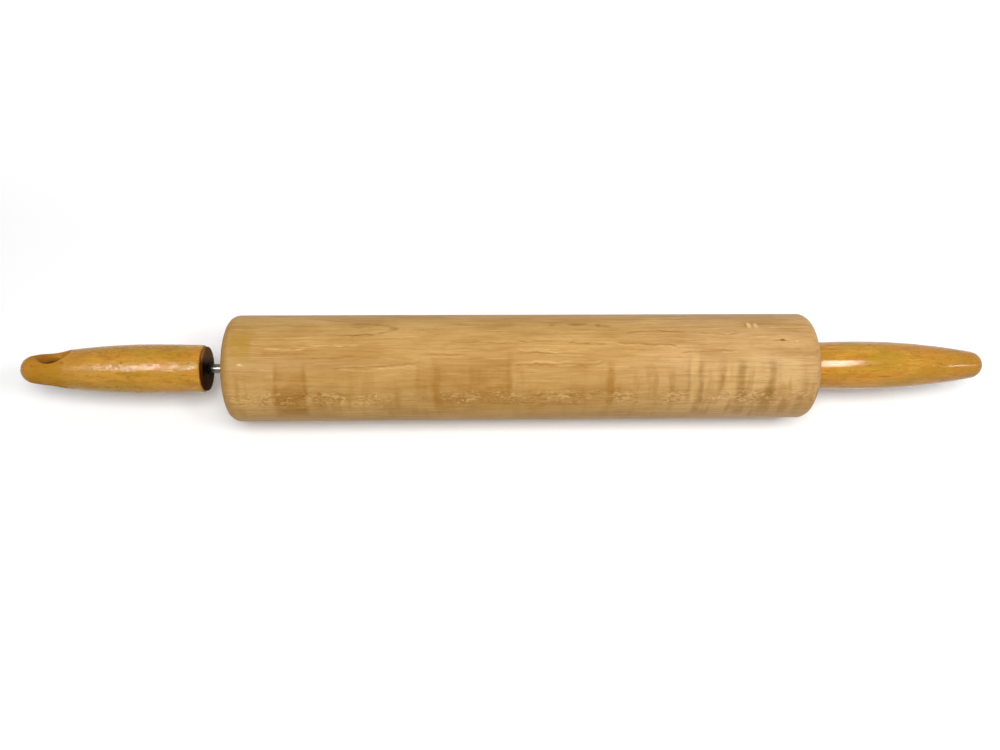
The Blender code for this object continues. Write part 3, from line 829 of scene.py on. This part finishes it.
def arcPoints(z, radius, bend, start, end, steps):
    # Points round a centre of the section; 0 degrees points away from the axis, 90 along it.
    angles = [math.radians(start + (end - start) * i / steps) for i in range(steps + 1)]
    return [(z + bend * math.sin(a), radius + bend * math.cos(a), 0.0) for a in angles]


def placed(outline, start, side):
    return [(start + side * z, r, rounding) for z, r, rounding in outline]


latheTree = makeLatheTree()

barrelSizes = {
    "rimRounding": 0.007,
    "boreRadius": 0.00635,
    "seatRadius": 0.0143,
    "seatDepth": 0.0096,
    "edgeRounding": 0.0004,
}


def addBarrel(sizes):
    rim, bore, seat = sizes["rimRounding"], sizes["boreRadius"], sizes["seatRadius"]
    edge, inner = sizes["edgeRounding"], barrelHalf - sizes["seatDepth"]
    half = [(barrelHalf, seat, edge), (barrelHalf, barrelRadius, rim)]
    outline = half + [(-z, r, e) for z, r, e in reversed(half)]
    outline += [(-inner, seat, 0.0), (-inner, bore, edge), (inner, bore, edge), (inner, seat, 0.0)]
    addTurned("barrelTurned", placed(outline, barrelX, 1), maple, "barrel", "maple", "barrel",
              facets=288, cornerSteps=16)


addBarrel(barrelSizes)
print("barrel turned")

bearingSizes = {
    "ballCount": 8,
    "ballRadius": 0.00238,
    "ballPitch": 0.0095,
    "raceGap": 0.0002,
    "shoulder": 0.0014,
    "cupRadius": 0.014,
    "cupHalf": 0.0045,
    "lipRadius": 0.0089,
    "lipThickness": 0.0008,
    "shieldSeat": 0.0014,
    "shieldGap": 0.0003,
    "shieldThickness": 0.0007,
    "shieldBore": 0.0087,
    "shieldRib": 0.0012,
    "coneNose": 0.0053,
    "coneHeel": 0.0036,
    "coneBore": 0.003275,
    "rounding": 0.00025,
    "grooveSteps": 16,
}


def raceGroove(sizes, start, end):
    bend = sizes["ballRadius"] + sizes["raceGap"]
    return arcPoints(0.0, sizes["ballPitch"], bend, start, end, sizes["grooveSteps"])


def addRaces(side, sign, sizes):
    low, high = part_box(side + "_bearing_cup")
    x = (low.x + high.x) / 2
    half, edge = sizes["cupHalf"], sizes["rounding"]
    shoulder = sizes["ballPitch"] + sizes["shoulder"]
    meet = math.degrees(math.acos(sizes["shoulder"] / (sizes["ballRadius"] + sizes["raceGap"])))
    lip = sizes["lipThickness"] - half
    step = half - sizes["shieldSeat"]
    stepRadius = (sizes["cupRadius"] + shoulder) / 2
    cup = [(half, sizes["cupRadius"], edge), (-half, sizes["cupRadius"], edge),
           (-half, sizes["lipRadius"], edge), (lip, sizes["lipRadius"], edge), (lip, shoulder, 0.0)]
    cup += raceGroove(sizes, -meet, meet)
    cup += [(step, shoulder, 0.0), (step, stepRadius, 0.0), (half, stepRadius, edge / 2)]
    addTurned(side + "CupRing", placed(cup, x, sign), raceSteel, "barrel", "bearing_steel",
              side + "_bearing_cup")
    inner = step + sizes["shieldGap"]
    outer = inner + sizes["shieldThickness"]
    reach = stepRadius - sizes["shieldGap"]
    rib, ribHalf = (reach + sizes["shieldBore"]) / 2, sizes["shieldRib"] / 2
    shield = [(outer, reach, edge), (inner, reach, edge), (inner, sizes["shieldBore"], edge),
              (outer, sizes["shieldBore"], edge), (outer, rib - ribHalf, edge), (outer - edge, rib, edge),
              (outer, rib + ribHalf, edge)]
    addTurned(side + "ShieldWasher", placed(shield, x, sign), sheetSteel, "barrel", "pressed_steel",
              side + "_bearing_shield")
    coneRadius = sizes["ballPitch"] - sizes["shoulder"]
    cone = [(sizes["coneNose"], coneRadius, edge * 2)]
    cone += raceGroove(sizes, 180 - meet, 180 + meet)
    cone += [(-sizes["coneHeel"], coneRadius, edge), (-sizes["coneHeel"], sizes["coneBore"], edge),
             (sizes["coneNose"], sizes["coneBore"], edge)]
    addTurned(side + "ConeRing", placed(cone, x, sign), raceSteel, "bearing_cones", "bearing_steel",
              side + "_bearing_cone")


def makeBallTree():
    tree, given, result = newGroup(
        "ringOfBalls",
        {"Int": ["Count"], "Float": ["Pitch Radius", "Ball Radius"], "Vector": ["Centre"],
         "Material": ["Finish"]},
        {"Geometry": ["Balls"]}, "GeometryNodeTree")
    ring = addNode(tree, "GeometryNodeMeshCircle",
                   {"Vertices": given["Count"], "Radius": given["Pitch Radius"]})
    stood = standUp(tree, ring.outputs[0], given["Centre"])
    ball = addNode(tree, "GeometryNodeMeshUVSphere",
                   {"Segments": 40, "Rings": 20, "Radius": given["Ball Radius"]})
    copies = addNode(tree, "GeometryNodeInstanceOnPoints", {"Points": stood, "Instance": ball.outputs[0]})
    endTree(tree, copies.outputs[0], given["Finish"], result[0])
    return tree


def addBalls(side, sizes):
    low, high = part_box(side + "_ball_cage")
    seed = newObject(side + "BallSeed", bpy.data.meshes.new(side + "BallSeed"))
    runTree(seed, ballTree,
            {"Count": sizes["ballCount"], "Pitch Radius": sizes["ballPitch"],
             "Ball Radius": sizes["ballRadius"], "Centre": ((low.x + high.x) / 2, 0.0, axisZ),
             "Finish": raceSteel})
    names = [f"{side}_ball_{number}" for number in range(1, sizes["ballCount"] + 1)]
    addPiece(side + "Balls", plainMesh(side + "Balls", seed), side + "_ball_set", names)


ballTree = makeBallTree()
for side, sign in sides:
    addRaces(side, sign, bearingSizes)
    addBalls(side, bearingSizes)
    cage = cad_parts[side + "_ball_cage"]
    for slot in cage.material_slots:
        slot.material = sheetSteel
print("bearings made")

rodSizes = {
    "chamfer": 0.0006,
    "rounding": 0.0001,
    "grooves": 3,
    "grooveDepth": 0.0004,
    "grooveWidth": 0.002,
    "groovePitch": 0.012,
}


def addRod(sizes):
    low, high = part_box("axle_rod")
    middle, half, radius = (low.x + high.x) / 2, (high.x - low.x) / 2, (high.z - low.z) / 2
    width, deep, edge = sizes["grooveWidth"] / 2, radius - sizes["grooveDepth"], sizes["rounding"]
    end = [(half, 0.0, 0.0), (half, radius - sizes["chamfer"], edge), (half - sizes["chamfer"], radius, edge)]
    for number in range(1, sizes["grooves"] + 1):
        at = half - number * sizes["groovePitch"]
        end += [(at + width, radius, edge), (at + width / 2, deep, edge),
                (at - width / 2, deep, edge), (at - width, radius, edge)]
    outline = end + [(-z, r, e) for z, r, e in reversed(end)]
    addTurned("axleRodTurned", placed(outline, middle, 1), rodSteel, "axle", "axle_steel", "axle_rod",
              closed=False, facets=96, cornerSteps=3)


addRod(rodSizes)

collarSizes = {
    "thickness": 0.0016,
    "rounding": 0.0005,
    "shankRadius": 0.006,
    "bore": 0.003475,
}


def addCollar(side, sign, sizes):
    low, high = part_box(side + "_handle_collar")
    radius, length = (high.z - low.z) / 2, high.x - low.x
    face = low.x if sign > 0 else high.x
    outline = [(0.0, sizes["bore"], 0.0002), (0.0, radius, sizes["rounding"]),
               (sizes["thickness"], radius, 0.0002), (sizes["thickness"], sizes["shankRadius"], 0.0),
               (length, sizes["shankRadius"], 0.0003), (length, sizes["bore"], 0.0001)]
    addTurned(side + "Collar", placed(outline, face, sign), phenolic, "axle", "dark_brown_phenolic",
              side + "_handle_collar")


for side, sign in sides:
    addCollar(side, sign, collarSizes)
print("rod and collars turned")

handleSizes = {
    "crest": 0.085,          # from the tip
    "crestRadius": 0.0161,
    "endRadius": 0.0154,
    "noseRadius": 0.0091,
    "edgeRounding": 0.001,
    "shankHole": 0.0063,
    "shankDepth": 0.014,
    "rodHole": 0.003475,
    "rodDepth": 0.0663,
    "cutMargin": 0.003,
    "mouthRounding": 0.0007,
    "neckRounding": 0.0014,
    "skinStep": 0.00045,
    "noseSteps": 24,
    "swellSteps": 64,
    "drillFacets": 96,
    "skinPasses": 8,
}


def noseAngle(sizes):
    # The angle at which the round nose runs into the swell without a corner.
    angle = 0.0
    for _ in range(30):
        rise = sizes["crestRadius"] - sizes["noseRadius"] * math.cos(angle)
        run = sizes["crest"] - sizes["noseRadius"] * (1 - math.sin(angle))
        angle = math.atan(2 * rise / run)
    return angle


def swellRadius(sizes, length, along):
    # The radius past the nose, for an array of distances from the tip.
    angle = noseAngle(sizes)
    start = sizes["noseRadius"] * (1 - math.sin(angle))
    fall = sizes["crestRadius"] - sizes["noseRadius"] * math.cos(angle)
    rising = sizes["crestRadius"] - fall * ((sizes["crest"] - along) / (sizes["crest"] - start)) ** 2
    drop = sizes["crestRadius"] - sizes["endRadius"]
    falling = sizes["crestRadius"] - drop * ((along - sizes["crest"]) / (length - sizes["crest"])) ** 2
    return np.where(along < sizes["crest"], rising, falling)


def handleOutline(sizes, length):
    # From the tip, along the outside, back along the blind bore to the axis.
    angle = noseAngle(sizes)
    nose = sizes["noseRadius"]
    outline = [(nose - nose * math.cos(a), nose * math.sin(a), 0.0)
               for a in np.linspace(0.0, math.pi / 2 - angle, sizes["noseSteps"])]
    stations = np.linspace(nose * (1 - math.sin(angle)), length, sizes["swellSteps"])[1:]
    outline += [(x, r, 0.0) for x, r in zip(stations, swellRadius(sizes, length, stations))]
    x, r, _ = outline[-1]
    outline[-1] = (x, r, sizes["edgeRounding"])
    shankEnd = length - sizes["shankDepth"]
    rodEnd = length - sizes["rodDepth"]
    outline += [(length, sizes["shankHole"], 0.0002), (shankEnd, sizes["shankHole"], 0.0),
                (shankEnd, sizes["rodHole"], 0.0), (rodEnd, sizes["rodHole"], 0.0), (rodEnd, 0.0, 0.0)]
    return outline


def addHandle(side, sign, sizes):
    low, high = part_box(side + "_handle")
    tip = high.x if sign > 0 else low.x
    length = high.x - low.x
    name = side + "HandleTurned"
    outline = placed(handleOutline(sizes, length), tip, -sign)
    mesh = turnedMesh(name, outline, amber, closed=False, facets=160, cornerSteps=6)
    if side == "left":
        mesh = bored(name, mesh, sizes, tip, length)
    addPiece(name, mesh, "axle", [side + "_handle"])


def holeForm(sizes, length):
    # The hang hole's flare from upright, how far from the axis it starts, and the handle's radius there.
    flare = math.radians(hangHole["sinkHalfAngle"])
    reach = float(swellRadius(sizes, length, np.array(hangHole["fromTip"])))
    neck = reach - (hangHole["sinkRadius"] - hangHole["radius"]) / math.tan(flare)
    return flare, neck, reach


def roundedMax(first, second, bend):
    apart = np.maximum(bend - np.abs(first - second), 0.0) / bend
    return np.maximum(first, second) + apart * apart * bend / 4


def woodField(points, sizes, tip, length):
    # Distance from the drilled handle's surface, below zero inside the wood.
    nose, angle = sizes["noseRadius"], noseAngle(sizes)
    along, y, z = points[:, 0] - tip, points[:, 1], points[:, 2] - axisZ
    out = np.hypot(y, z)
    step = 1e-5
    rise = swellRadius(sizes, length, along + step) - swellRadius(sizes, length, along - step)
    side = (out - swellRadius(sizes, length, along)) / np.hypot(1, rise / (2 * step))
    side = np.where(along < nose * (1 - math.sin(angle)), np.hypot(along - nose, out) - nose, side)
    edge = sizes["edgeRounding"]
    sideIn, faceIn = side + edge, along - length + edge
    body = np.hypot(np.maximum(sideIn, 0), np.maximum(faceIn, 0)) - edge
    body += np.minimum(np.maximum(sideIn, faceIn), 0)
    tilt = math.radians(hangHole["tilt"])
    down = y * math.sin(tilt) + z * math.cos(tilt)
    wide = np.hypot(along - hangHole["fromTip"], y * math.cos(tilt) - z * math.sin(tilt))
    flare, neck, _ = holeForm(sizes, length)
    straight = hangHole["radius"] - wide
    flared = (straight + (np.abs(down) - neck) * math.tan(flare)) * math.cos(flare)
    hole = roundedMax(straight, flared, sizes["neckRounding"])
    wood = roundedMax(body, hole, sizes["mouthRounding"])
    fromFace = length - along
    shank = np.minimum(sizes["shankHole"] - out, sizes["shankDepth"] - fromFace)
    rod = np.minimum(sizes["rodHole"] - out, sizes["rodDepth"] - fromFace)
    return np.maximum(wood, np.maximum(shank, rod))


def bored(name, blankMesh, sizes, tip, length):
    # The hang hole: a flared drill is cut away, then the skin is drawn onto the rounded shape.
    drill = addDrill(sizes, tip, length)
    blank = newObject("handleBlank", blankMesh)
    cut = blank.modifiers.new("hang hole", "BOOLEAN")
    cut.operation = "DIFFERENCE"
    cut.solver = "EXACT"
    cut.object = drill
    skin = blank.modifiers.new("skin", "REMESH")
    skin.mode = "VOXEL"
    skin.voxel_size = sizes["skinStep"]
    mesh = plainMesh(name, blank)
    bpy.data.objects.remove(drill)
    points = np.empty(len(mesh.vertices) * 3)
    mesh.vertices.foreach_get("co", points)
    points = drawnOn(points.reshape(-1, 3), sizes, tip, length)
    mesh.vertices.foreach_set("co", points.ravel())
    mesh.update()
    mesh.materials.clear()
    mesh.materials.append(amber)
    off = float(np.abs(woodField(points, sizes, tip, length)).max())
    print("skin", len(mesh.polygons), "faces, off by", off)
    return mesh


def addDrill(sizes, tip, length):
    flare, neck, reach = holeForm(sizes, length)
    mouth, facets = reach + sizes["cutMargin"], sizes["drillFacets"]
    mouthRadius = hangHole["radius"] + (mouth - neck) * math.tan(flare)
    half = [(neck, hangHole["radius"]), (mouth, mouthRadius)]
    shape = bmesh.new()
    rings = []
    for z, r in [(-z, r) for z, r in reversed(half)] + half:
        rings.append([shape.verts.new((r * math.cos(a), r * math.sin(a), z))
                      for a in np.linspace(0, 2 * math.pi, facets, endpoint=False)])
    for lower, upper in zip(rings, rings[1:]):
        for i in range(facets):
            shape.faces.new((lower[i - 1], lower[i], upper[i], upper[i - 1]))
    shape.faces.new(reversed(rings[0]))
    shape.faces.new(rings[-1])
    bmesh.ops.recalc_face_normals(shape, faces=shape.faces)
    place = Matrix.Translation((tip + hangHole["fromTip"], 0.0, axisZ))
    place @= Matrix.Rotation(-math.radians(hangHole["tilt"]), 4, "X")
    bmesh.ops.transform(shape, matrix=place, verts=shape.verts)
    drillMesh = bpy.data.meshes.new("drill")
    shape.to_mesh(drillMesh)
    shape.free()
    return newObject("drill", drillMesh)


def drawnOn(points, sizes, tip, length):
    # Each point is moved along the field's slope until the field is nought there.
    step = 2e-6
    for _ in range(sizes["skinPasses"]):
        slope = np.empty_like(points)
        for axis, move in enumerate(np.eye(3) * step):
            ahead = woodField(points + move, sizes, tip, length)
            slope[:, axis] = (ahead - woodField(points - move, sizes, tip, length)) / (2 * step)
        share = woodField(points, sizes, tip, length) / np.maximum((slope * slope).sum(1), 0.2)
        points = points - slope * share[:, None]
    return points


for side, sign in sides:
    addHandle(side, sign, handleSizes)
print("handles turned")


# The stage: a white floor that keeps the shadow, soft boxes and a white surround.

stageLook = {
    "floorSize": 8.0,
    "floorColour": (0.50, 0.50, 0.50, 1.0),
    "seenColour": (1.0, 1.0, 1.0, 1.0),      # what the camera and shiny pieces see of it
    "nearGlow": 0.04,                        # the glow that keeps it white, round the pin and far from it
    "farGlow": 0.50,
    "glowHalf": 0.30,                        # the glow grows past this half length of the pin
    "glowReach": (0.11, 0.45),
    "fill": 0.38,
}


def shownRays(tree):
    # 1 for what the camera sees, straight or in a shiny or clear piece.
    rays = tree.nodes.new("ShaderNodeLightPath").outputs
    shown = maths(tree, "MAXIMUM", rays["Is Camera Ray"], rays["Is Glossy Ray"])
    return maths(tree, "MAXIMUM", shown, rays["Is Transmission Ray"])


def addFloor(look):
    mesh = bpy.data.meshes.new("floor")
    reach = look["floorSize"] / 2
    corners = [(x * reach, y * reach, 0.0) for x, y in ((-1, -1), (1, -1), (1, 1), (-1, 1))]
    mesh.from_pydata(corners, [], [(0, 1, 2, 3)])
    material = bpy.data.materials.new("whiteFloor")
    material.use_nodes = True
    tree = material.node_tree
    tree.nodes.clear()
    seen = shownRays(tree)
    colour = blendColour(tree, seen, look["floorColour"], look["seenColour"])
    paint = addNode(tree, "ShaderNodeBsdfDiffuse", {"Color": colour})
    place = splitVector(tree, tree.nodes.new("ShaderNodeTexCoord").outputs["Object"])
    pastTip = maths(tree, "SUBTRACT", maths(tree, "ABSOLUTE", place["X"]), look["glowHalf"])
    away = maths(tree, "MAXIMUM", pastTip, maths(tree, "ABSOLUTE", place["Y"]))
    whiter = ramp(tree, away, *look["glowReach"], look["nearGlow"], look["farGlow"])
    glow = addNode(tree, "ShaderNodeEmission", {"Strength": times(tree, seen, whiter)})
    both = addNode(tree, "ShaderNodeAddShader", {0: paint.outputs[0], 1: glow.outputs[0]})
    out = tree.nodes.new("ShaderNodeOutputMaterial")
    tree.links.new(both.outputs[0], out.inputs[0])
    mesh.materials.append(material)
    newObject("floor", mesh)


def addWorld(look):
    world = bpy.data.worlds.new("surround")
    bpy.context.scene.world = world
    world.use_nodes = True
    tree = world.node_tree
    strength = maths(tree, "MULTIPLY_ADD", shownRays(tree), 1.0 - look["fill"], look["fill"])
    back = tree.nodes["Background"]
    back.inputs["Color"].default_value = (1.0, 1.0, 1.0, 1.0)
    tree.links.new(strength, back.inputs["Strength"])


# Soft boxes: two that light the pin, and three that show only in what shines.
softBoxes = {
    "topBox": {"place": (-0.02, -0.29, 1.15), "aim": (0.0, 0.0, 0.03),
               "size": (0.70, 0.50), "power": 9.0, "lights": True},
    "sideBox": {"place": (0.588, -0.27, 1.03), "aim": (0.22, 0.0, 0.03),
                "size": (0.135, 0.30), "power": 3.0, "lights": True},
    "rightShine": {"place": (0.588, -0.30, 1.03), "aim": (0.22, 0.0, 0.03),
                   "size": (0.135, 0.52), "power": 6.4, "lights": False},
    "leftShine": {"place": (-0.62, -0.33, 1.03), "aim": (-0.24, 0.0, 0.03),
                  "size": (0.48, 0.36), "power": 12.5, "lights": False},
    "farShine": {"place": (1.175, -0.43, 0.735), "aim": (0.297, 0.0, 0.04),
                 "size": (0.09, 0.055), "power": 1.6, "lights": False},
}


def turnedTo(right, up, back, place):
    return Matrix.Translation(place) @ Matrix((right, up, back)).transposed().to_4x4()


def addSoftBox(name, box):
    lamp = bpy.data.lights.new(name, "AREA")
    lamp.shape = "RECTANGLE"
    lamp.size, lamp.size_y = box["size"]
    lamp.energy = box["power"]
    holder = newObject(name, lamp)
    holder.visible_diffuse = box["lights"]
    holder.visible_glossy = not box["lights"]
    place = Vector(box["place"])
    back = (place - Vector(box["aim"])).normalized()
    right = Vector((0.0, 1.0, 0.0)).cross(back).normalized()
    holder.matrix_world = turnedTo(right, back.cross(right), back, place)


addFloor(stageLook)
addWorld(stageLook)
for name, box in softBoxes.items():
    addSoftBox(name, box)


# The camera, at the photograph's viewing angle, for a picture of 1000 x 750.

cameraView = {
    "elevation": 65.0,       # degrees above the table
    "yaw": 2.15,
    "roll": 0.31,
    "distance": 0.5948,
    "lens": 32.19,
    "aside": 0.01432,        # the barrel's middle lies this far right of the view's centre
    "above": 0.00531,
}


def addCamera(view):
    e, yaw, roll = (math.radians(view[key]) for key in ("elevation", "yaw", "roll"))
    forward = Vector((math.sin(yaw), math.cos(yaw) * math.cos(e), -math.cos(yaw) * math.sin(e)))
    level = Vector((math.cos(yaw), -math.sin(yaw) * math.cos(e), math.sin(yaw) * math.sin(e)))
    upright = level.cross(forward)
    right = level * math.cos(roll) - upright * math.sin(roll)
    up = upright * math.cos(roll) + level * math.sin(roll)
    place = Vector((barrelX, 0.0, axisZ)) - view["distance"] * forward
    place -= view["aside"] * right + view["above"] * up
    lens = bpy.data.cameras.new("camera")
    lens.sensor_width = 36.0
    lens.lens = view["lens"]
    lens.clip_start = 0.01
    camera = newObject("camera", lens)
    camera.matrix_world = turnedTo(right, up, -forward, place)
    bpy.context.scene.camera = camera


addCamera(cameraView)
bpy.context.scene.view_settings.view_transform = "Standard"
print("stage, lamps and camera set")
